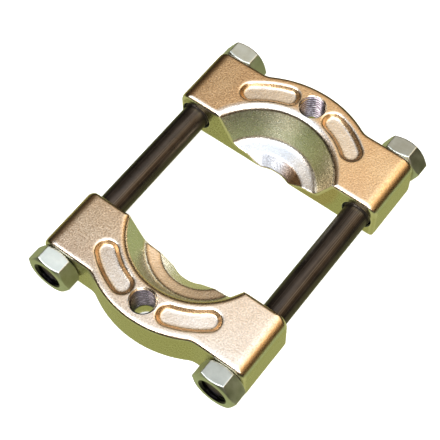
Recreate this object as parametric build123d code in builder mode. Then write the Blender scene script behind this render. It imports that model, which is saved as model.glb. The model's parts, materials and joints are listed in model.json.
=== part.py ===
from build123d import *

import os
from math import radians, sqrt, tan

# ---------------------------------------------------------------------------
# Bearing separator: two forged half plates with knife-edged recesses, drawn
# together by two studs and four hexagon nuts.  Millimetres, +Z up.
# X runs from the left stud to the right stud, Y along the studs.  The origin
# is the centre of the plan, on the flat underside that the tool lies on.
# The front half is at negative Y, and the rear half is the same forging
# turned half a turn about Z.
# ---------------------------------------------------------------------------

# Half plate: plan
plate_length = 140.0        # along X
boss_depth = 41.3           # mating face to nut seat, along the studs
jaw_gap = 83.2              # between the two mating faces, jaws open
arc_offset = 16.0           # common centre of the arcs, in front of the mating face
arch_radius = 67.2          # outer arch
arch_blend = 11.0           # concave blend from the arch to the nut seat

# Half plate: height and edges
plate_height = 28.5
end_round = 8.5             # large round along the top of each end
foot_round = 1.5            # underside edges of the ends and the arch
edge_round = 2.5            # top edges of the seat and the arch
mating_round = 1.6          # top edges of the mating face
rim_round = 2.2             # top edge of the recess

# Recess, given as radii about the common centre and as heights
rim_radius = 44.0           # at the top face
recess_floor = 8.0          # at the foot of the wall
floor_fall = 8.0            # slope of the floor towards the knife edge, in degrees
wall_angle = 26.0           # recess wall, from upright
floor_inner_radius = 25.7
knife_radius = 18.8
knife_land = 0.8            # blunt upright land of the knife edge
recess_fillet = 4.5
floor_edge_round = 1.5

# Curved pockets beside the tapped hole
pocket_arc_radius = 55.0
pocket_near_angle = 16.9    # centre of the inner end, from the Y axis
pocket_far_angle = 40.7     # centre of the outer end
pocket_width = 13.6
pocket_depth = 2.8
pocket_draft = 38.0         # slope of the pocket walls, from upright

# Tapped hole for a puller leg
tapped_hole_y = 38.2        # from the mating face
tapped_wall_radius = 6.95   # crest of an M16 x 2 internal thread
tapped_mouth_radius = 8.4
tapped_depth = 20.0
relief_radius = 7.4         # clearance bore below the thread

# Studs and nuts
stud_spacing = 116.0
stud_height = 13.95         # stud axis above the underside
shank_radius = 8.2          # plain middle of the stud, the blank of a rolled thread
thread_radius = 9.0         # M18 x 2.5 major radius
stud_bore_radius = 9.5
bore_mouth = 0.6            # chamfer at each bore mouth
nut_flats = 26.0
nut_thickness = 11.8
nut_float = 0.1             # nut face to seat
nut_bore_clearance = 0.08
nut_chamfer_angle = 30.0
nut_face_land = 0.6         # how far inside the flats the chamfer reaches
nut_mouth = 0.5             # chamfer at the thread
front_left_turn = -8.0      # how far each nut is turned from a flat on top
front_right_turn = 4.0
rear_left_turn = 3.0
rear_right_turn = -5.0
stud_recess = 3.0           # stud end inside the nut's outer face
stud_end_chamfer = 1.4
thread_runout = 0.9         # cone from the thread to the plain shank
close_travel = 40.5         # of each half, from open to almost shut

# Worked out
half_gap = jaw_gap / 2
seat_y = half_gap + boss_depth
nut_inner_y = seat_y + nut_float
nut_outer_y = nut_inner_y + nut_thickness
stud_half_length = nut_outer_y - stud_recess
thread_start_y = stud_half_length - close_travel - nut_thickness + stud_recess
crown_y = arch_radius - arc_offset
nut_corner_radius = nut_flats / sqrt(3)
mouth_depth = tapped_mouth_radius - tapped_wall_radius
relief_height = plate_height - tapped_depth


def plan_frame(side):
    """Plan plane of a half: origin on the underside in the middle of the
    mating face, local +Y pointing away from the other half."""
    return Plane(origin=(0, side * half_gap, 0), x_dir=(side, 0, 0), z_dir=(0, 0, 1))


def upright(base, x, y):
    """Upright plane through (x, y) of a half: local X as the half's X, local Y up."""
    origin = base.from_local_coords(Vector(x, y, 0))
    return Plane(origin=origin, x_dir=base.x_dir, z_dir=-base.y_dir)


def pocket_line(side):
    """Centre line of one pocket, an arc about the half's common centre."""
    start = 90 - side * pocket_near_angle
    sweep = -side * (pocket_far_angle - pocket_near_angle)
    return CenterArc((0, -arc_offset), pocket_arc_radius, start, sweep, mode=Mode.PRIVATE)


def outer_wall_edges(part, base):
    """Every edge round the nut seats and the arch, except along the foot."""
    chosen = []
    for edge in part.edges():
        middle = base.to_local_coords(edge.center())
        if middle.Y > boss_depth - 0.01 and middle.Z > plate_height / 3:
            chosen.append(edge)
    return chosen


def mating_wall_edges(part, base):
    """Every edge round the mating face, except along the foot."""
    chosen = []
    for edge in part.edges():
        middle = base.to_local_coords(edge.center())
        if abs(middle.Y) < 0.01 and middle.Z > plate_height / 3:
            chosen.append(edge)
    return chosen


def half_plate(base):
    """One forged half, built on its own plan frame."""
    top = base.offset(plate_height)
    end_view = upright(base, 0, 0)
    axis_view = upright(base, 0, -arc_offset)
    common_axis = Axis(axis_view.origin, base.z_dir)
    wall_foot_radius = rim_radius - (plate_height - recess_floor) * tan(radians(wall_angle))
    floor_width = wall_foot_radius - floor_inner_radius
    floor_inner_height = recess_floor - floor_width * tan(radians(floor_fall))

    with BuildPart() as half:
        # Plan outline: straight nut seats with the arch rising between them
        with BuildSketch(base) as plan:
            with Locations((0, boss_depth / 2)):
                Rectangle(plate_length, boss_depth)
            with Locations((0, -arc_offset)):
                Circle(arch_radius)
            with Locations((0, crown_y / 2)):
                Rectangle(plate_length, crown_y, mode=Mode.INTERSECT)
            notches = plan.vertices().filter_by(
                lambda v: abs(v.Y - boss_depth) < 0.01 and abs(v.X) < plate_length / 2 - 1
            )
            fillet(notches, arch_blend)
        extrude(amount=plate_height)

        # Ends: large round along the top, small one along the foot
        with BuildSketch(end_view) as end_shape:
            with Locations((0, plate_height / 2)):
                Rectangle(plate_length, plate_height)
            fillet(end_shape.vertices().group_by(Axis.Y)[-1], end_round)
            fillet(end_shape.vertices().filter_by(lambda v: v.Y < 0.01), foot_round)
        extrude(amount=2 * crown_y, both=True, mode=Mode.INTERSECT)
        fillet(outer_wall_edges(half.part, base), edge_round)
        fillet(mating_wall_edges(half.part, base), mating_round)

        # Recess: sloped wall, dished floor and the knife edge, all about one axis
        with BuildSketch(axis_view) as recess:
            with BuildLine():
                Polyline(
                    (0, plate_height + 1),
                    (arch_radius, plate_height + 1),
                    (arch_radius, plate_height),
                    (rim_radius, plate_height),
                    (wall_foot_radius, recess_floor),
                    (floor_inner_radius, floor_inner_height),
                    (knife_radius, knife_land),
                    (knife_radius, -1),
                    (0, -1),
                    close=True,
                )
            make_face()
            for corner, radius in (
                ((rim_radius, plate_height), rim_round),
                ((wall_foot_radius, recess_floor), recess_fillet),
                ((floor_inner_radius, floor_inner_height), floor_edge_round),
            ):
                fillet(recess.vertices().sort_by_distance(corner)[0], radius)
        revolve(axis=common_axis, mode=Mode.SUBTRACT)

        # Shallow curved pockets with sloped walls, one on each side of the tapped hole
        for side in (-1, 1):
            centre_line = pocket_line(side)
            with BuildSketch(top):
                SlotArc(centre_line, pocket_width)
            extrude(amount=-pocket_depth, taper=pocket_draft, mode=Mode.SUBTRACT)

        # Tapped hole: countersunk mouth, thread wall, then a clearance bore below
        with BuildSketch(upright(base, 0, tapped_hole_y)):
            with BuildLine():
                Polyline(
                    (0, plate_height + 1),
                    (tapped_mouth_radius + 1, plate_height + 1),
                    (tapped_wall_radius, plate_height - mouth_depth),
                    (tapped_wall_radius, relief_height),
                    (relief_radius, relief_height),
                    (relief_radius, -1),
                    (0, -1),
                    close=True,
                )
            make_face()
        revolve(axis=Axis(upright(base, 0, tapped_hole_y).origin, base.z_dir), mode=Mode.SUBTRACT)

        # Stud bores, right through from the mating face to the nut seat
        for x in (-stud_spacing / 2, stud_spacing / 2):
            with BuildSketch(upright(base, x, 0)):
                with Locations((0, stud_height)):
                    Circle(stud_bore_radius)
            extrude(amount=-2 * boss_depth, mode=Mode.SUBTRACT)
        mouths = [
            edge
            for edge in half.edges()
            if edge.geom_type == GeomType.CIRCLE and abs(edge.radius - stud_bore_radius) < 0.01
        ]
        chamfer(mouths, bore_mouth)
    return half.part


def stud(x):
    """Plain round middle, thread-size ends with chamfered tips, turned about Y."""
    with BuildPart() as bar:
        with BuildSketch(Plane.XY.offset(stud_height)):
            with BuildLine():
                Polyline(
                    (x, 0),
                    (x + shank_radius, 0),
                    (x + shank_radius, thread_start_y - thread_runout),
                    (x + thread_radius, thread_start_y),
                    (x + thread_radius, stud_half_length - stud_end_chamfer),
                    (x + thread_radius - stud_end_chamfer, stud_half_length),
                    (x, stud_half_length),
                    close=True,
                )
            make_face()
        revolve(axis=Axis((x, 0, stud_height), (0, 1, 0)))
        mirror(about=Plane.XZ)
    return bar.part


def nut(x, side, turn):
    """Hexagon nut, chamfered on both faces, with its inner face at the seat."""
    seat = Plane(origin=(x, side * nut_inner_y, stud_height), x_dir=(1, 0, 0), z_dir=(0, side, 0))
    with BuildPart() as hexagon:
        with BuildSketch(seat):
            RegularPolygon(nut_flats / 2, 6, major_radius=False, rotation=turn)
        extrude(amount=nut_thickness)
        chamfer_run = nut_corner_radius - nut_flats / 2 + nut_face_land
        chamfer_rise = chamfer_run * tan(radians(nut_chamfer_angle))
        with BuildSketch(Plane(origin=seat.origin, x_dir=(1, 0, 0), z_dir=(0, 0, side))):
            with BuildLine():
                Polyline(
                    (0, 0),
                    (nut_corner_radius - chamfer_run, 0),
                    (nut_corner_radius, chamfer_rise),
                    (nut_corner_radius, nut_thickness - chamfer_rise),
                    (nut_corner_radius - chamfer_run, nut_thickness),
                    (0, nut_thickness),
                    close=True,
                )
            make_face()
        revolve(axis=Axis(seat.origin, seat.z_dir), mode=Mode.INTERSECT)
        with BuildSketch(seat):
            Circle(thread_radius + nut_bore_clearance)
        extrude(amount=nut_thickness, mode=Mode.SUBTRACT)
        mouths = [
            edge
            for edge in hexagon.edges()
            if edge.geom_type == GeomType.CIRCLE
            and abs(edge.radius - thread_radius - nut_bore_clearance) < 0.01
        ]
        chamfer(mouths, nut_mouth)
    return hexagon.part


half_x = stud_spacing / 2
pieces = {
    "front_half": half_plate(plan_frame(-1)),
    "rear_half": half_plate(plan_frame(1)),
    "left_stud": stud(-half_x),
    "right_stud": stud(half_x),
    "front_left_nut": nut(-half_x, -1, front_left_turn),
    "front_right_nut": nut(half_x, -1, front_right_turn),
    "rear_left_nut": nut(-half_x, 1, rear_left_turn),
    "rear_right_nut": nut(half_x, 1, rear_right_turn),
}

os.makedirs("parts", exist_ok=True)
for name, solid in pieces.items():
    solid.label = name
    export_step(solid, f"parts/{name}.step")
    print(name, round(solid.volume), solid.bounding_box())
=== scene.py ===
import json
from math import cos, pi, radians, sin, tan

import bmesh
import bpy
import numpy as np
from mathutils import Matrix, Vector, noise


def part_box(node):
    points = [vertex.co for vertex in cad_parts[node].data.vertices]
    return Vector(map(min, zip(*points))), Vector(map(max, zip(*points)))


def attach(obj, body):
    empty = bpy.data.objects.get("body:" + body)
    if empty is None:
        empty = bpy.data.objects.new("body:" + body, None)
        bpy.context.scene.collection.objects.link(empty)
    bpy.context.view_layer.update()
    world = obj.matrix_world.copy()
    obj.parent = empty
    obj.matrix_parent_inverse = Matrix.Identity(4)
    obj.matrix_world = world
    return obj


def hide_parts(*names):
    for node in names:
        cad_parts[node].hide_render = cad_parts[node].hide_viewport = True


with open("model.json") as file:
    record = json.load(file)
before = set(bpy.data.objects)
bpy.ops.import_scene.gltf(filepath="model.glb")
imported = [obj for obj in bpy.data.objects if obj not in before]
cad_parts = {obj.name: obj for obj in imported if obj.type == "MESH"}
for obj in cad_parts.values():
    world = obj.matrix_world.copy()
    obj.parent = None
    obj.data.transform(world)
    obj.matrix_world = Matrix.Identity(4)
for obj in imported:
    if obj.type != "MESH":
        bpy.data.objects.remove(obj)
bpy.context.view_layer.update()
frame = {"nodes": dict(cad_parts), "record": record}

MM = 0.001
SCENE = bpy.context.scene

# ---------------------------------------------------------------------------
# Sizes, in metres, of what the CAD model leaves plain
# ---------------------------------------------------------------------------
# Studs and nuts, M18 x 2.5: radii, short lengths and gaps
STUD_PITCH = 2.5 * MM
STUD_MAJOR = 9.0 * MM
STUD_ROOT = 7.6 * MM
STUD_SHANK = 8.2 * MM
STUD_CHAMFER = 1.4 * MM
STUD_SHOULDER = 0.9 * MM
STUD_LEAD = 1.3 * MM
STUD_RUN_OUT = 1.7 * MM
NUT_BORE = 7.78 * MM
NUT_OUTER_MOUTH = STUD_MAJOR + 0.3 * MM
NUT_INNER_MOUTH = STUD_MAJOR + 1.1 * MM
NUT_PLAY = 0.1 * MM
THREAD_GAP = 0.06 * MM
FLANK = tan(radians(30))

# Puller holes, M16 x 2, and the stud bores: radii and heights
TAP_PITCH = 2.0 * MM
TAP_BORE = 6.95 * MM
TAP_MAJOR = 8.0 * MM
TAP_MOUTH = 8.4 * MM
TAP_PLUG = 8.75 * MM
TAP_RELIEF = 7.4 * MM
RELIEF_HEIGHT = 8.5 * MM
STUD_BORE = 9.5 * MM
BORE_CHAMFER = 0.6 * MM

# Rounds of the half plates, and the recess's axis, that far inside the jaw gap
END_ROUND = 8.5 * MM
CORNER_ROUND = 3.0 * MM
RIM_RADIUS = 44.0 * MM
RIM_ROUND = 4.2 * MM
RIM_SLOPE = radians(26)
RECESS_OFFSET = 16 * MM
MATING_ROUND = 2.6 * MM
WAVE_DEPTH = 0.10 * MM

# Working values: mesh size, and how far a cutting tool stands past what it cuts
HALF_VOXEL = 0.6 * MM
NUT_VOXEL = 0.36 * MM
PAST = 2 * MM
THREAD_PAST = 3 * MM

# Staging
ROOM_RADIUS, ROOM_HEIGHT = 2.9, 3.0
SHEET_HALF_WIDTH = 3.0
TABLE_HEIGHT, BACKDROP_HEIGHT, CARD_HEIGHT = -0.2 * MM, -0.3 * MM, -0.4 * MM


# ---------------------------------------------------------------------------
# Mesh helpers
# ---------------------------------------------------------------------------
def link(name, mesh):
    """A new object in the scene."""
    piece = bpy.data.objects.new(name, mesh)
    SCENE.collection.objects.link(piece)
    return piece


def apply_modifiers(piece):
    """Turns the piece's modifiers into its own mesh."""
    depsgraph = bpy.context.evaluated_depsgraph_get()
    finished = bpy.data.meshes.new_from_object(piece.evaluated_get(depsgraph), depsgraph=depsgraph)
    piece.modifiers.clear()
    old = piece.data
    piece.data = finished
    bpy.data.meshes.remove(old)


def cut(piece, tools):
    """Cuts each tool away from the piece. The cut faces keep the tool's material."""
    for tool in tools:
        step = piece.modifiers.new("cut", "BOOLEAN")
        step.operation = "DIFFERENCE"
        step.solver = "EXACT"
        step.material_mode = "TRANSFER"
        step.object = tool
    apply_modifiers(piece)
    for tool in tools:
        bpy.data.objects.remove(tool)


def soften(piece, voxel, passes):
    """Even small faces all over, then a light smoothing that rounds the edges."""
    remesh = piece.modifiers.new("remesh", "REMESH")
    remesh.mode = "VOXEL"
    remesh.voxel_size = voxel
    smooth = piece.modifiers.new("smooth", "SMOOTH")
    smooth.factor = 0.5
    smooth.iterations = passes
    apply_modifiers(piece)


def shade(piece, angle=38):
    """Smooth shading, with the edges sharper than the angle left crisp."""
    piece.data.shade_smooth()
    piece.data.set_sharp_from_angle(angle=radians(angle))


def lathe(name, profile, place, material=None, segments=96, trim=None, trimmed=()):
    """Solid turned about local Z from (radius, height) points, first and last on the axis.
    The bands of the profile whose numbers are in trimmed take the trim material."""
    mesh = bmesh.new()
    rings = []
    for radius, height in profile:
        if radius == 0:
            rings.append([mesh.verts.new((0, 0, height))])
            continue
        ring = []
        for k in range(segments):
            turn = 2 * pi * k / segments
            ring.append(mesh.verts.new((radius * cos(turn), radius * sin(turn), height)))
        rings.append(ring)
    for band, (lower, upper) in enumerate(zip(rings, rings[1:])):
        for k in range(segments):
            after = (k + 1) % segments
            corners = [lower[k % len(lower)], lower[after % len(lower)]]
            corners += [upper[after % len(upper)], upper[k % len(upper)]]
            face = mesh.faces.new(list(dict.fromkeys(corners)))
            face.material_index = int(band in trimmed)
    return solid(name, mesh, place, material, trim)


def helix(name, pitch, section, low, high, offset, place, material=None, lift_low=0, lift_high=0):
    """Closed helical bar about local Z. The section lists (radius, half width); the bar can
    lift away from the axis over its first or last half turn, as a thread runs out."""
    segments = 48
    (inner, inner_half), (outer, outer_half) = section
    corners = ((inner, -inner_half), (outer, -outer_half), (outer, outer_half), (inner, inner_half))
    first = round((low - offset) / pitch * segments)
    last = round((high - offset) / pitch * segments)
    mesh = bmesh.new()
    rings = []
    for k in range(first, last + 1):
        turn = 2 * pi * k / segments
        lift = lift_low * max(0, 1 - 2 * (k - first) / segments)
        lift += lift_high * max(0, 1 - 2 * (last - k) / segments)
        ring = []
        for radius, along in corners:
            reach = radius + lift
            height = offset + pitch * k / segments + along
            ring.append(mesh.verts.new((reach * cos(turn), reach * sin(turn), height)))
        rings.append(ring)
    for one, other in zip(rings, rings[1:]):
        for k in range(len(corners)):
            after = (k + 1) % len(corners)
            mesh.faces.new((one[k], one[after], other[after], other[k]))
    mesh.faces.new(rings[0][::-1])
    mesh.faces.new(rings[-1])
    return solid(name, mesh, place, material)


def solid(name, mesh, place, *finishes):
    """Finishes a bmesh: outward normals, put in its place, with its materials."""
    bmesh.ops.recalc_face_normals(mesh, faces=mesh.faces)
    mesh.transform(place)
    data = bpy.data.meshes.new(name)
    mesh.to_mesh(data)
    mesh.free()
    for finish in finishes:
        if finish:
            data.materials.append(finish)
    return link(name, data)


def along_y(x, z):
    """Place whose local Z is the frame's +Y, on a stud's axis."""
    turn = Matrix(((1, 0, 0), (0, 0, 1), (0, -1, 0))).to_4x4()
    return Matrix.Translation((x, 0, z)) @ turn


def cad_copy(node):
    """A copy of a CAD node's mesh as a new mesh, to work on."""
    copy = frame["nodes"][node].data.copy()
    copy.materials.clear()
    return copy


def join_into(piece, others):
    """Adds the others' meshes to the piece's."""
    mesh = bmesh.new()
    mesh.from_mesh(piece.data)
    for other in others:
        mesh.from_mesh(other.data)
        bpy.data.objects.remove(other)
    mesh.to_mesh(piece.data)
    mesh.free()


# ---------------------------------------------------------------------------
# Places, worked out from the frame
# ---------------------------------------------------------------------------
stud_low, stud_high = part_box("left_stud")
half_low, half_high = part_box("rear_half")
stud_z = (stud_low.z + stud_high.z) / 2
stud_x = abs(stud_low.x + stud_high.x) / 2
mating_y = half_low.y
plate_top = half_high.z
hole_y = abs(frame["record"]["mounts"][1]["pos_m"][1])
seat_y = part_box("rear_left_nut")[0].y - NUT_PLAY
front_hole = Matrix.Translation((0, -hole_y, 0))


# ---------------------------------------------------------------------------
# Materials
# ---------------------------------------------------------------------------
class Nodes:
    """Short hand for building the node tree of a material or of the world."""

    def __init__(self, owner):
        owner.use_nodes = True
        self.owner = owner
        self.tree = owner.node_tree
        self.shader = self.tree.nodes.get("Principled BSDF")
        self.place = self.add("ShaderNodeTexCoord").outputs["Object"]

    def add(self, kind, **settings):
        node = self.tree.nodes.new(kind)
        for key, value in settings.items():
            setattr(node, key, value)
        return node

    def join(self, source, target):
        self.tree.links.new(source, target)

    def axes(self, vector):
        """The X, Y and Z of a vector."""
        node = self.add("ShaderNodeSeparateXYZ")
        self.join(vector, node.inputs["Vector"])
        return [node.outputs[axis] for axis in "XYZ"]

    def distance(self, place, point):
        node = self.add("ShaderNodeVectorMath", operation="DISTANCE")
        node.inputs[1].default_value = point
        self.join(place, node.inputs[0])
        return node.outputs["Value"]

    def edges(self, low, high):
        """How sharp an outward edge is, from 0 to 1."""
        return self.level(self.add("ShaderNodeNewGeometry").outputs["Pointiness"], low, high)

    def noise(self, scale, detail, roughness=0.55, stretch=None):
        texture = self.add("ShaderNodeTexNoise")
        texture.inputs["Scale"].default_value = scale
        texture.inputs["Detail"].default_value = detail
        texture.inputs["Roughness"].default_value = roughness
        texture.inputs["Distortion"].default_value = 0.0
        source = self.place
        if stretch:
            mapping = self.add("ShaderNodeMapping")
            mapping.inputs["Scale"].default_value = stretch
            self.join(self.place, mapping.inputs["Vector"])
            source = mapping.outputs["Vector"]
        self.join(source, texture.inputs["Vector"])
        return texture.outputs["Fac"]

    def ramp(self, source, *stops):
        """Colour by (value, colour) stops."""
        node = self.add("ShaderNodeValToRGB")
        steps = node.color_ramp.elements
        while len(steps) < len(stops):
            steps.new(0.5)
        for step, (position, colour) in zip(steps, stops):
            step.position = position
            step.color = (*colour, 1.0)
        self.join(source, node.inputs["Fac"])
        return node.outputs["Color"]

    def level(self, source, low, high, out_low=0.0, out_high=1.0):
        """Carries low to high over to out_low to out_high, and no further."""
        node = self.add("ShaderNodeMapRange")
        ends = {"From Min": low, "From Max": high, "To Min": out_low, "To Max": out_high}
        for key, value in ends.items():
            node.inputs[key].default_value = value
        self.join(source, node.inputs["Value"])
        return node.outputs["Result"]

    def maths(self, operation, one, other):
        node = self.add("ShaderNodeMath", operation=operation)
        for socket, value in zip(node.inputs, (one, other)):
            if isinstance(value, (int, float)):
                socket.default_value = value
            else:
                self.join(value, socket)
        return node.outputs["Value"]

    def times(self, one, other):
        return self.maths("MULTIPLY", one, other)

    def one_less(self, share):
        """What the share leaves of one."""
        return self.maths("SUBTRACT", 1.0, share)

    def mix(self, share, one, other, blend="MIX"):
        node = self.add("ShaderNodeMix", data_type="RGBA", blend_type=blend)
        if isinstance(share, (int, float)):
            node.inputs["Factor"].default_value = share
        else:
            self.join(share, node.inputs["Factor"])
        for key, value in (("A", one), ("B", other)):
            socket = [s for s in node.inputs if s.name == key and s.type == "RGBA"][0]
            if isinstance(value, tuple):
                socket.default_value = (*value, 1.0)
            else:
                self.join(value, socket)
        return [s for s in node.outputs if s.type == "RGBA"][0]

    def bump(self, height, distance, strength, under=None):
        node = self.add("ShaderNodeBump")
        node.inputs["Strength"].default_value = strength
        node.inputs["Distance"].default_value = distance
        self.join(height, node.inputs["Height"])
        if under:
            self.join(under, node.inputs["Normal"])
        return node.outputs["Normal"]

    def metal(self, colour, metallic, roughness, normal):
        """Feeds the shader, and returns the finished material."""
        self.join(colour, self.shader.inputs["Base Color"])
        self.shader.inputs["Metallic"].default_value = metallic
        self.join(roughness, self.shader.inputs["Roughness"])
        self.join(normal, self.shader.inputs["Normal"])
        return self.owner


def plated_forging():
    """Yellow zinc plate over a grit-blasted forging: golden, with a painted highlight that pales it
    towards the front right and on the floors, and painted reflections by facing.
    """
    n = Nodes(bpy.data.materials.new("yellow_zinc_forging"))
    x, y, z = n.axes(n.place)
    upness = n.axes(n.add("ShaderNodeTexCoord").outputs["Normal"])[2]
    sunk = n.level(z, plate_top - 0.9 * MM, plate_top - 2.3 * MM)
    deep = n.level(z, plate_top - 4.5 * MM, plate_top - 8.5 * MM)
    grain = n.noise(950, 3, 0.6)
    fine = n.noise(2600, 3, 0.6)

    top_colour_and_sheen = top_colour_with_painted_sheen(n, x, y, sunk, deep)
    slope_reflection_colour = painted_slope_reflections(n, upness, deep)
    # Painted reflections by facing: sloped faces take the slope colours, level faces the top colour
    colour = n.mix(n.level(upness, 0.84, 0.96), slope_reflection_colour, top_colour_and_sheen)
    # Painted reflections and a painted line of shade inside the rear recess
    colour = rear_recess_painted_reflections(n, colour, x, upness, deep)

    # Dark pits in the grain, weaker towards the right and on the floors, and painted shade that darkens
    # the left end
    pits = ((0.36, (0.62, 0.53, 0.46)), (0.50, (0.94, 0.94, 0.94)), (0.62, (1.14, 1.13, 1.12)))
    contrast = n.level(x, -50 * MM, 40 * MM, 1.0, 0.5)
    contrast = n.times(contrast, n.one_less(n.times(sunk, 0.6)))
    colour = n.mix(contrast, colour, n.ramp(grain, *pits), "MULTIPLY")
    leftness = n.level(x, -75 * MM, -20 * MM)
    painted_left_shade = n.ramp(leftness, (0.0, (0.86, 0.86, 0.87)), (1.0, (1, 1, 1)))
    colour = n.mix(1.0, colour, painted_left_shade, "MULTIPLY")

    # Paler and smoother along the edges: partly wear, partly a painted highlight on the edge rounds
    edges = n.edges(0.506, 0.518)
    colour = n.mix(n.times(edges, 0.7), colour, (0.98, 0.90, 0.79))
    rough = n.level(grain, 0.3, 0.7, 0.33, 0.24)
    rough = n.maths("SUBTRACT", rough, n.times(edges, 0.10))
    normal = n.bump(fine, 0.00004, 0.7, n.bump(grain, 0.00011, 0.9))
    return n.metal(colour, 1.0, rough, normal)


def top_colour_with_painted_sheen(n, x, y, sunk, deep):
    """Level faces: golden plate, with a painted highlight that pales it towards the front right and on
    the floors.
    """
    # Painted highlight: paler towards the front right and on the floors
    painted_paleness = n.maths("ADD", n.times(x, 3.6), n.times(y, -5.5))
    painted_paleness = n.maths("ADD", painted_paleness, 0.12)
    front = n.level(y, 10 * MM, -10 * MM, 0.0, 0.35)
    painted_floor_paleness = n.maths("SUBTRACT", 0.8, n.times(deep, front))
    painted_paleness = n.maths("ADD", n.times(painted_paleness, n.one_less(sunk)), n.times(sunk, painted_floor_paleness))
    cloudy = n.noise(55, 3)
    golden = n.ramp(cloudy, (0.30, (0.86, 0.58, 0.34)), (0.70, (0.94, 0.69, 0.43)))
    painted_pale = n.ramp(cloudy, (0.30, (0.88, 0.79, 0.69)), (0.70, (0.96, 0.90, 0.83)))
    return n.mix(n.level(painted_paleness, 0.0, 1.0), golden, painted_pale)


def painted_slope_reflections(n, upness, deep):
    """Painted reflections by facing: olive on walls, grey-green on slopes, orange over edges, pale deep
    down.
    """
    # Painted reflections: a colour for each facing, from upright to level
    slope_reflection_ramp = n.ramp(
        upness,
        (0.10, (0.62, 0.58, 0.37)),
        (0.44, (0.74, 0.76, 0.69)),
        (0.60, (0.80, 0.57, 0.34)),
        (0.85, (0.88, 0.66, 0.42)),
    )
    # Painted highlight: pale on deep faces that turn up
    return n.mix(n.times(deep, n.level(upness, 0.46, 0.60)), slope_reflection_ramp, (0.90, 0.84, 0.74))


def rear_recess_painted_reflections(n, colour, x, upness, deep):
    """Inside the rear recess, painted reflections: silvery on the left, ruddy on the right, and a painted
    line of shade under the rim. Places are told by their distance from the recess's centre at the top."""
    reach = n.distance(n.place, (0, mating_y - RECESS_OFFSET, plate_top))
    inside = n.level(reach, 49.0 * MM, 46.2 * MM)
    facing_up = n.times(inside, n.level(upness, 0.46, 0.62))

    # Painted silvery highlight along the rim, fading out towards the right
    painted_rim_highlight = n.times(facing_up, n.one_less(deep))
    painted_rim_highlight = n.times(painted_rim_highlight, n.level(x, 30 * MM, 5 * MM, 0.0, 0.85))
    colour = n.mix(painted_rim_highlight, colour, (0.92, 0.93, 0.95))

    # Painted reflections on floor and cone: silvery grey on the left, ruddy on the right, darker on the
    # cone
    cone = n.times(n.level(reach, 35.5 * MM, 34.2 * MM), n.level(upness, 0.95, 0.82))
    painted_silver_reflection = n.mix(cone, (0.72, 0.73, 0.74), (0.34, 0.36, 0.41))
    painted_ruddy_reflection = n.mix(cone, (0.95, 0.86, 0.76), (0.50, 0.26, 0.10))
    painted_floor_reflection = n.mix(n.level(x, 12 * MM, 0.0), painted_ruddy_reflection, painted_silver_reflection)
    colour = n.mix(n.times(n.times(facing_up, deep), 0.9), colour, painted_floor_reflection)

    # Painted darker brown on the right of the recess wall
    painted_wall_darkening = n.maths("SUBTRACT", inside, facing_up)
    colour = n.mix(n.times(painted_wall_darkening, n.level(x, 5 * MM, 35 * MM)), colour, (0.62, 0.50, 0.30))

    # Painted line of shade just under the rim
    black, white = (0, 0, 0), (1, 1, 1)
    painted_rim_shade_line = n.ramp(upness, (0.44, black), (0.50, white), (0.66, white), (0.76, black))
    rim_only = n.level(reach, 40.0 * MM, 41.5 * MM)
    rim_only = n.times(rim_only, n.level(reach, 48.0 * MM, 46.5 * MM, 0.0, 0.8))
    return n.mix(n.times(painted_rim_shade_line, rim_only), colour, (0.16, 0.12, 0.07))


def cut_steel(name, dark, middle, bright):
    """Threads and bores, cut after forging: fine turning marks, darker towards the front and brighter
    towards the rear.
    """
    n = Nodes(bpy.data.materials.new(name))
    streaks = n.noise(500, 3, 0.6, (1, 1, 9))
    steel = n.ramp(streaks, (0.3, dark), (0.55, middle), (0.75, bright))
    rearness = n.level(n.axes(n.place)[1], -50 * MM, 50 * MM)
    front_rear_brightness = n.ramp(rearness, (0.0, (0.45, 0.44, 0.42)), (1.0, (1.5, 1.48, 1.45)))
    colour = n.mix(1.0, steel, front_rear_brightness, "MULTIPLY")
    return n.metal(colour, 1.0, n.level(streaks, 0.3, 0.7, 0.16, 0.32), n.bump(streaks, 0.00003, 0.6))


def black_oxide():
    """Black oxide on a drawn bar, lightly oiled, with faint lengthwise drawing marks."""
    n = Nodes(bpy.data.materials.new("black_oxide_bar"))
    drawn = n.noise(900, 3, 0.6, (1, 0.03, 1))
    cloudy = n.noise(70, 4, 0.6)
    colour = n.ramp(cloudy, (0.3, (0.020, 0.016, 0.014)), (0.7, (0.050, 0.038, 0.030)))
    marks = n.ramp(drawn, (0.4, (0.03, 0.025, 0.02)), (0.7, (0.11, 0.085, 0.065)))
    colour = n.mix(0.35, colour, marks, "ADD")
    colour = n.mix(n.times(n.edges(0.52, 0.60), 0.6), colour, (0.30, 0.26, 0.22))
    return n.metal(colour, 0.85, n.level(cloudy, 0.3, 0.7, 0.24, 0.38), n.bump(drawn, 0.00004, 0.5))


def zinc_nut():
    """Bright zinc on a cold-formed nut, with a faint green-yellow passivation."""
    n = Nodes(bpy.data.materials.new("bright_zinc_nut"))
    cloudy = n.noise(120, 4, 0.6)
    fine = n.noise(1800, 3, 0.6)
    colour = n.ramp(cloudy, (0.3, (0.52, 0.55, 0.50)), (0.7, (0.67, 0.70, 0.65)))
    colour = n.mix(n.times(n.edges(0.51, 0.57), 0.5), colour, (0.92, 0.93, 0.86))
    normal = n.bump(fine, 0.00005, 0.5, n.bump(cloudy, 0.0003, 0.3))
    return n.metal(colour, 1.0, n.level(cloudy, 0.3, 0.7, 0.30, 0.44), normal)


plate_finish = plated_forging()
cut_finish = cut_steel("cut_thread_steel", (0.05, 0.04, 0.05), (0.18, 0.15, 0.17), (0.62, 0.58, 0.60))
bore_finish = cut_steel("dark_bore_steel", (0.02, 0.02, 0.03), (0.07, 0.07, 0.09), (0.22, 0.23, 0.28))
stud_finish = black_oxide()
nut_finish = zinc_nut()


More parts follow.
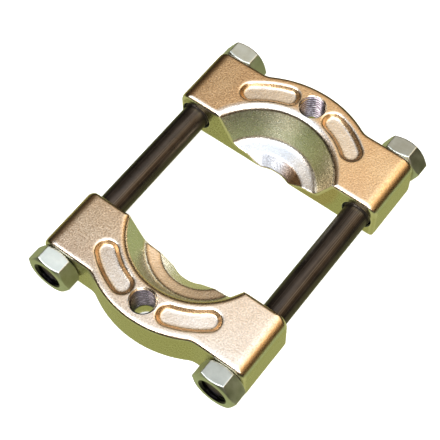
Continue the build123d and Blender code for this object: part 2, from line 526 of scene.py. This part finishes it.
# ---------------------------------------------------------------------------
# Pieces
# ---------------------------------------------------------------------------
def forged_half():
    """The front half plate as a detailed mesh: soft forged skin, crisp bores and a real thread."""
    piece = link("front_half_forging", cad_copy("front_half"))
    join_into(piece, half_plugs())
    soften(piece, HALF_VOXEL, passes=7)
    round_corners(piece.data)
    round_rims(piece.data)
    forged_waves(piece.data, WAVE_DEPTH)
    piece.data.materials.clear()
    piece.data.materials.append(plate_finish)
    cut(piece, [bore_tool(-stud_x), bore_tool(stud_x), hole_tool(), tap_tool()])
    shade(piece)
    return piece


def half_plugs():
    """Fillings for the front half's bores and hole, so that its skin softens evenly there."""
    profile = ((0, 0), (TAP_PLUG, 0), (TAP_PLUG, plate_top), (0, plate_top))
    plugs = [lathe("plug", profile, front_hole)]
    bore_plug = STUD_BORE + BORE_CHAMFER + 0.3 * MM
    for x in (-stud_x, stud_x):
        profile = ((0, -seat_y), (bore_plug, -seat_y), (bore_plug, -mating_y), (0, -mating_y))
        plugs.append(lathe("plug", profile, along_y(x, stud_z)))
    return plugs


def bore_tool(x):
    """Cuts a stud bore through the front half, with chamfered mouths."""
    mouth = STUD_BORE + BORE_CHAMFER + PAST
    profile = (
        (0, -seat_y - PAST),
        (mouth, -seat_y - PAST),
        (STUD_BORE, -seat_y + BORE_CHAMFER),
        (STUD_BORE, -mating_y - BORE_CHAMFER),
        (mouth, -mating_y + PAST),
        (0, -mating_y + PAST),
    )
    return lathe("bore_tool", profile, along_y(x, stud_z), bore_finish, 128)


def hole_tool():
    """Cuts the puller hole: relief below, tapping bore, countersunk mouth. The relief and the
    mouth stay plated."""
    profile = (
        (0, -PAST),
        (TAP_RELIEF, -PAST),
        (TAP_RELIEF, RELIEF_HEIGHT),
        (TAP_BORE, RELIEF_HEIGHT),
        (TAP_BORE, plate_top - TAP_MOUTH + TAP_BORE),
        (TAP_MOUTH + PAST, plate_top + PAST),
        (0, plate_top + PAST),
    )
    return lathe("hole_tool", profile, front_hole, cut_finish, 128, plate_finish, (1, 2, 4))


def tap_tool():
    """Cuts the thread of the puller hole, running out above the relief."""
    ridge = TAP_PITCH / 16
    inside = TAP_BORE - 0.15 * MM
    section = ((inside, ridge + (TAP_MAJOR - inside) * FLANK), (TAP_MAJOR, ridge))
    low, high = RELIEF_HEIGHT + 0.3 * MM, plate_top + 1.5 * MM
    run_out = TAP_BORE - TAP_MAJOR - 0.3 * MM
    return helix("tap_tool", TAP_PITCH, section, low, high, 0, front_hole, cut_finish, lift_low=run_out)


def round_corners(mesh):
    """Rounds the upright corners where the ends of the half meet its mating face."""
    for vertex in mesh.vertices:
        x, y, z = vertex.co
        drop = max(0, z - (plate_top - END_ROUND))
        end = half_high.x - END_ROUND + max(0, END_ROUND ** 2 - drop ** 2) ** 0.5
        beyond = Vector((abs(x) - end + CORNER_ROUND, y + mating_y + CORNER_ROUND))
        if beyond.x > 0 and beyond.y > 0 and beyond.length > CORNER_ROUND:
            inward = beyond * (CORNER_ROUND / beyond.length - 1)
            vertex.co = (x + (inward.x if x > 0 else -inward.x), y + inward.y, z)


def round_rims(mesh):
    """Eases the top edges of the recess and of the mating face into fuller rounds."""
    arc_y = -mating_y + RECESS_OFFSET
    rim_across = RIM_RADIUS + RIM_ROUND * (1 - sin(RIM_SLOPE)) / cos(RIM_SLOPE)
    rim_height = plate_top - RIM_ROUND
    for vertex in mesh.vertices:
        x, y, z = vertex.co
        out = Vector((x, y - arc_y))
        beyond = Vector((out.length - rim_across, z - rim_height))
        facing = beyond.x < 0 and beyond.y > -beyond.x * tan(RIM_SLOPE)
        if facing and beyond.length > RIM_ROUND:
            beyond *= RIM_ROUND / beyond.length
            out *= (rim_across + beyond.x) / out.length
            vertex.co = (out.x, out.y + arc_y, rim_height + beyond.y)
            x, y, z = vertex.co
        beyond = Vector((y + mating_y + MATING_ROUND, z - plate_top + MATING_ROUND))
        if beyond.x > 0 and beyond.y > 0 and beyond.length > MATING_ROUND:
            beyond *= MATING_ROUND / beyond.length
            vertex.co = (x, beyond.x - mating_y - MATING_ROUND, plate_top - MATING_ROUND + beyond.y)


def forged_waves(mesh, depth):
    """The skin of a forging is never quite even: shallow hollows along the normals, never
    outward."""
    count = len(mesh.vertices)
    points = np.empty(count * 3)
    mesh.vertices.foreach_get("co", points)
    points = points.reshape(-1, 3)
    normals = np.array([v.normal for v in mesh.vertices])
    slow = np.array([noise.noise(Vector(p) * 160) for p in points])
    quick = np.array([noise.noise(Vector(p) * 420) for p in points])
    share = 0.5 + 0.35 * slow + 0.15 * quick
    points -= normals * (share * depth)[:, None]
    mesh.vertices.foreach_set("co", points.ravel())
    mesh.update()


def threaded_stud():
    """The left stud: turned blank with both ends threaded and the thread running out."""
    place = along_y(-stud_x, stud_z)
    tip = stud_high.y
    start = mating_y + STUD_SHOULDER
    profile = [
        (0, -tip),
        (STUD_MAJOR - STUD_CHAMFER, -tip),
        (STUD_MAJOR, STUD_CHAMFER - tip),
        (STUD_MAJOR, -start),
        (STUD_SHANK, -mating_y),
    ]
    profile += [(radius, -height) for radius, height in profile[::-1]]
    piece = lathe("left_stud_bar", profile, place, stud_finish)
    ridge = STUD_PITCH / 16
    outside = STUD_MAJOR + 0.12 * MM
    section = (
        (STUD_ROOT, STUD_PITCH / 2 - ridge - (STUD_MAJOR - STUD_ROOT) * FLANK),
        (outside, STUD_PITCH / 2 - ridge + (outside - STUD_MAJOR) * FLANK),
    )
    thread = ("groove", STUD_PITCH, section)
    low, high = start - STUD_LEAD, tip + THREAD_PAST
    front = helix(*thread, -high, -low, 0, place, stud_finish, lift_high=STUD_RUN_OUT)
    rear = helix(*thread, low, high, 0, place, stud_finish, lift_low=STUD_RUN_OUT)
    cut(piece, [front, rear])
    shade(piece, 30)
    return piece


def threaded_nut(node):
    """One nut: the CAD hexagon with softened edges and a thread that follows its stud's."""
    low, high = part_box(node)
    place = along_y(stud_x if low.x > 0 else -stud_x, stud_z)
    piece = link(node + "_hexagon", cad_copy(node))
    plug = NUT_BORE + 2.2 * MM
    profile = ((0, low.y), (plug, low.y), (plug, high.y), (0, high.y))
    join_into(piece, [lathe("plug", profile, place)])
    soften(piece, NUT_VOXEL, passes=3)
    piece.data.materials.clear()
    piece.data.materials.append(nut_finish)

    # Bore with a countersunk mouth at both ends, wider on the side of the plate
    first, last = NUT_OUTER_MOUTH, NUT_INNER_MOUTH
    if low.y > 0:
        first, last = last, first
    profile = (
        (0, low.y - PAST),
        (first + PAST, low.y - PAST),
        (NUT_BORE, low.y + first - NUT_BORE),
        (NUT_BORE, high.y - last + NUT_BORE),
        (last + PAST, high.y + PAST),
        (0, high.y + PAST),
    )
    bore = lathe("bore_tool", profile, place, bore_finish, 96)

    # Thread groove half a pitch away from the stud's
    ridge = STUD_PITCH / 16 + THREAD_GAP
    inside = NUT_BORE - 0.12 * MM
    outside = STUD_MAJOR + 0.1 * MM
    section = ((inside, ridge + (STUD_MAJOR - inside) * FLANK), (outside, ridge - 0.1 * MM * FLANK))
    thread = ("tap_tool", STUD_PITCH, section)
    ends = (low.y - THREAD_PAST, high.y + THREAD_PAST)
    tap = helix(*thread, *ends, STUD_PITCH / 2, place, bore_finish)
    cut(piece, [bore, tap])
    shade(piece, 40)
    return piece


def stand_for(piece, body, node):
    """The piece is shown instead of the CAD node and moves with its body."""
    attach(piece, body)
    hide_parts(node)


def turned_copy(piece, name, turn):
    """The same mesh moved by a matrix, as a new piece."""
    mesh = piece.data.copy()
    mesh.transform(turn)
    return link(name, mesh)


front = forged_half()
rear = turned_copy(front, "rear_half_forging", Matrix.Rotation(pi, 4, "Z"))
stand_for(front, "front_half", "front_half")
stand_for(rear, "rear_half", "rear_half")
left = threaded_stud()
right = turned_copy(left, "right_stud_bar", Matrix.Translation((2 * stud_x, 0, 0)))
stand_for(left, "left_stud", "left_stud")
stand_for(right, "right_stud", "right_stud")
for node in sorted(frame["nodes"]):
    if node.endswith("_nut"):
        stand_for(threaded_nut(node), node, node)


# ---------------------------------------------------------------------------
# Camera, floor and light
# ---------------------------------------------------------------------------
def camera():
    """Looks down from the front right, at the angle of the picture."""
    azimuth, elevation, roll = radians(38.228), radians(59.680), radians(-1.268)
    distance = 717.9 * MM
    aim_right, aim_up = -6.878 * MM, 2.717 * MM
    data = bpy.data.cameras.new("camera")
    data.sensor_width = 36.0
    data.lens = 100.42
    data.clip_start, data.clip_end = 0.01, 20.0
    back = Vector((sin(azimuth) * cos(elevation), -cos(azimuth) * cos(elevation), sin(elevation)))
    level_right = Vector((cos(azimuth), sin(azimuth), 0))
    level_up = back.cross(level_right)
    right = cos(roll) * level_right + sin(roll) * level_up
    up = cos(roll) * level_up - sin(roll) * level_right
    place = Matrix((right, up, back)).transposed().to_4x4()
    place.translation = aim_right * right + aim_up * up + distance * back
    seen = bpy.data.objects.new("camera", data)
    SCENE.collection.objects.link(seen)
    seen.matrix_world = place
    SCENE.camera = seen


def softbox(name, azimuth, elevation, distance, size, power, colour):
    """Square area light aimed at the middle of the object. Azimuth 0 is in front of it."""
    a, e = radians(azimuth), radians(elevation)
    toward = Vector((sin(a) * cos(e), -cos(a) * cos(e), sin(e)))
    data = bpy.data.lights.new(name, "AREA")
    data.shape = "SQUARE"
    data.size = size
    data.energy = power
    data.color = colour
    lamp = bpy.data.objects.new(name, data)
    lamp.location = toward * distance
    lamp.rotation_euler = toward.to_track_quat("Z", "Y").to_euler()
    SCENE.collection.objects.link(lamp)


def flat_sheet(name, height, material):
    """Wide square sheet lying level."""
    mesh = bpy.data.meshes.new(name)
    w = SHEET_HALF_WIDTH
    corners = [(-w, -w, height), (w, -w, height), (w, w, height), (-w, w, height)]
    mesh.from_pydata(corners, [], [(0, 1, 2, 3)])
    mesh.materials.append(material)
    sheet = link(name, mesh)
    return sheet


def matte_glow(name, base, strength):
    """Nodes of a surface without shine that also gives off white light."""
    n = Nodes(bpy.data.materials.new(name))
    settings = {
        "Base Color": (*base, 1),
        "Roughness": 1.0,
        "Specular IOR Level": 0.0,
        "Emission Color": (1, 1, 1, 1),
        "Emission Strength": strength,
    }
    for socket, value in settings.items():
        n.shader.inputs[socket].default_value = value
    return n


def surroundings():
    """White table top, a white room that only the camera sees, and under the table an olive
    card that only the metal's reflections see."""
    table = flat_sheet("table_top", TABLE_HEIGHT, matte_glow("white_table", (0.9, 0.9, 0.89), 0.72).owner)
    table.visible_glossy = False

    low, high, wide = BACKDROP_HEIGHT, ROOM_HEIGHT, ROOM_RADIUS
    room = ((0, low), (wide, low), (wide, high), (0, high))
    white = matte_glow("white_backdrop", (0, 0, 0), 1.0).owner
    backdrop = lathe("backdrop", room, Matrix.Identity(4), white)
    backdrop.visible_diffuse = False
    backdrop.visible_glossy = False
    backdrop.visible_shadow = False

    n = matte_glow("olive_card", (0, 0, 0), 1.0)
    reach = n.distance(n.place, (0, 10 * MM, 0))
    tint = n.ramp(reach, (0.155, (0.47, 0.50, 0.22)), (0.19, (0.05, 0.045, 0.02)))
    n.join(tint, n.shader.inputs["Emission Color"])
    card = flat_sheet("bounce_card", CARD_HEIGHT, n.owner)
    card.visible_camera = False
    card.visible_diffuse = False
    card.visible_shadow = False


def world_light():
    """Room light by direction: dark low down, warm at the back and cool white overhead, and
    stronger on the right than on the left."""
    n = Nodes(bpy.data.worlds.new("room"))
    x, y, z = n.axes(n.add("ShaderNodeTexCoord").outputs["Generated"])
    rightness = n.maths("ADD", z, n.times(x, 0.55))
    rightness = n.maths("SUBTRACT", rightness, n.times(y, 0.15))
    frontness = n.maths("SUBTRACT", z, n.times(y, 0.30))
    levels = {0.26: 0.20, 0.36: 0.21, 0.43: 0.25, 0.47: 0.40, 0.51: 0.86, 0.58: 1.45, 0.80: 1.60}
    strength = n.ramp(n.times(rightness, 0.8), *((stop, (grey,) * 3) for stop, grey in levels.items()))
    tint = n.ramp(
        frontness,
        (0.50, (1.20, 0.92, 0.55)),
        (0.70, (1.12, 0.93, 0.65)),
        (0.77, (1.02, 0.99, 0.92)),
        (0.84, (0.93, 1.02, 1.16)),
    )
    height = n.ramp(
        z,
        (0.00, (0.035, 0.028, 0.016)),
        (0.25, (0.06, 0.045, 0.026)),
        (0.48, (0.30, 0.26, 0.20)),
        (0.64, (0.62, 0.58, 0.52)),
        (0.76, (1.00, 1.00, 1.00)),
    )
    colour = n.mix(1.0, n.mix(1.0, strength, tint, "MULTIPLY"), height, "MULTIPLY")
    n.join(colour, n.tree.nodes["Background"].inputs["Color"])
    SCENE.world = n.owner


camera()
surroundings()
world_light()
softbox("back_left", -150, 49, 1.6, 0.5, 0.25, (1.0, 0.86, 0.62))
softbox("front_left", -24, 52, 1.6, 1.0, 14.0, (1.0, 0.98, 0.95))
softbox("front_right", 48, 42, 1.6, 0.9, 8.0, (1.0, 0.99, 0.97))
SCENE.view_settings.view_transform = "Standard"
